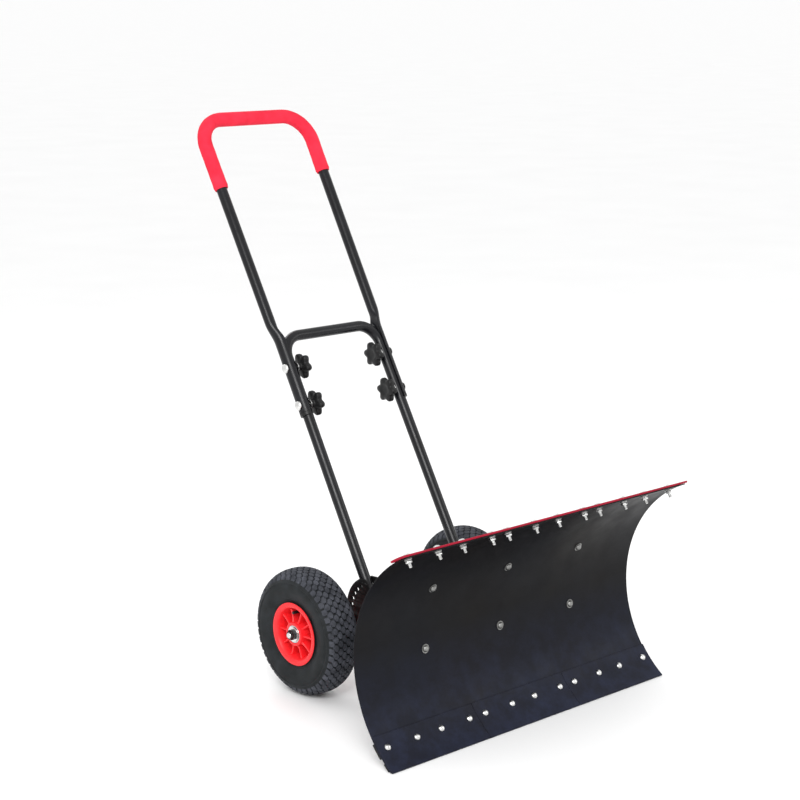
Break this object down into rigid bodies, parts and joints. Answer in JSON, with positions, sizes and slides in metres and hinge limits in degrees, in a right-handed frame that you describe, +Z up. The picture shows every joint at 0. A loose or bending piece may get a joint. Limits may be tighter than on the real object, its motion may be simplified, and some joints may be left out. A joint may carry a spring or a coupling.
{
  "type": "wheeled snow shovel",
  "caption": "Wheeled snow pusher: curved black blade with a red top rail, pneumatic wheels on one axle, and a tilting two-part U handle with star knobs and a foam grip.",
  "frame": {"origin": "the middle of the machine's outline on the ground: X = 0 on the centre plane, Z = 0 on the ground, Y = 0 midway between the blade's top edge and the grip (2.3 mm in front of the axle line)", "axes": "+Z up, +X to the right as one faces the blade, so names ending _left are at -X; the blade faces -Y and the handle leans back to +Y"},
  "size_m": [0.757, 0.9054, 1.1064],
  "materials": {
    "blade_black": "satin",
    "frame_black": "glossy powder coat",
    "frame_red": "satin powder coat",
    "zinc_plate": "zinc plated",
    "tyre_rubber": "matte",
    "rim_red": "moulded",
    "foam_red": "matte foam",
    "black_plastic": "moulded"
  },
  "bodies": {
    "chassis": {"blade_sheet": "blade_black", "wear_strip_left": "blade_black", "wear_strip_center": "blade_black", "wear_strip_right": "blade_black", "top_rail": "frame_red", "lower_clamp_bar": "frame_black", "bottom_edge_bar": "frame_black", "rib_left": "frame_red", "rib_center": "frame_red", "rib_right": "frame_red", "cross_angle_lower": "frame_red", "cross_angle_upper": "frame_red", "side_plate_left_inner": "frame_black", "side_plate_left_outer": "frame_black", "side_plate_right_inner": "frame_black", "side_plate_right_outer": "frame_black", "brace_left": "frame_black", "brace_right": "frame_black", "axle": "zinc_plate", "axle_spacer_left": "zinc_plate", "axle_spacer_right": "zinc_plate", "axle_washer_left": "zinc_plate", "axle_washer_right": "zinc_plate", "axle_nut_left": "frame_black", "axle_nut_right": "frame_black", "pivot_bolt_left": "zinc_plate", "pivot_bolt_right": "zinc_plate", "pivot_nut_left": "zinc_plate", "pivot_nut_right": "zinc_plate"},
    "handle": {"lower_handle_frame": "frame_black", "upper_handle": "frame_black", "foam_grip": "foam_red", "leg_end_cap_left": "black_plastic", "leg_end_cap_right": "black_plastic", "handle_bolt_lower_left": "zinc_plate", "handle_bolt_lower_right": "zinc_plate", "handle_bolt_upper_left": "zinc_plate", "handle_bolt_upper_right": "zinc_plate", "tilt_lock_pin_left": "zinc_plate", "tilt_lock_pin_right": "zinc_plate"},
    "knob_lower_left": {"knob_lower_left": "black_plastic"},
    "knob_lower_right": {"knob_lower_right": "black_plastic"},
    "knob_upper_left": {"knob_upper_left": "black_plastic"},
    "knob_upper_right": {"knob_upper_right": "black_plastic"},
    "wheel_left": {"tyre_left": "tyre_rubber", "inner_tube_left": "tyre_rubber", "rim_left": "rim_red", "bearing_inner_left": "zinc_plate", "bearing_outer_left": "zinc_plate", "bearing_spacer_left": "zinc_plate", "valve_stem_left": "black_plastic"},
    "wheel_right": {"tyre_right": "tyre_rubber", "inner_tube_right": "tyre_rubber", "rim_right": "rim_red", "bearing_inner_right": "zinc_plate", "bearing_outer_right": "zinc_plate", "bearing_spacer_right": "zinc_plate", "valve_stem_right": "black_plastic"}
  },
  "joints": [
    {"name": "handle_tilt", "type": "hinge", "parent": "chassis", "child": "handle", "pos_m": [0, -0.09968, 0.17], "axis": [-1, 0, 0], "range_deg": [0, 54]},
    {"name": "knob_lower_left_turn", "type": "hinge", "parent": "handle", "child": "knob_lower_left", "pos_m": [-0.12515, 0.11993, 0.54649], "axis": [-1, 0, 0], "continuous": true},
    {"name": "knob_lower_right_turn", "type": "hinge", "parent": "handle", "child": "knob_lower_right", "pos_m": [0.12515, 0.11993, 0.54649], "axis": [1, 0, 0], "continuous": true},
    {"name": "knob_upper_left_turn", "type": "hinge", "parent": "handle", "child": "knob_upper_left", "pos_m": [-0.12468, 0.16024, 0.61559], "axis": [-1, 0, 0], "continuous": true},
    {"name": "knob_upper_right_turn", "type": "hinge", "parent": "handle", "child": "knob_upper_right", "pos_m": [0.12468, 0.16024, 0.61559], "axis": [1, 0, 0], "continuous": true},
    {"name": "wheel_left_spin", "type": "hinge", "parent": "chassis", "child": "wheel_left", "pos_m": [-0.2199, 0.00232, 0.1261], "axis": [1, 0, 0], "continuous": true},
    {"name": "wheel_right_spin", "type": "hinge", "parent": "chassis", "child": "wheel_right", "pos_m": [0.2199, 0.00232, 0.1261], "axis": [1, 0, 0], "continuous": true}
  ]
}
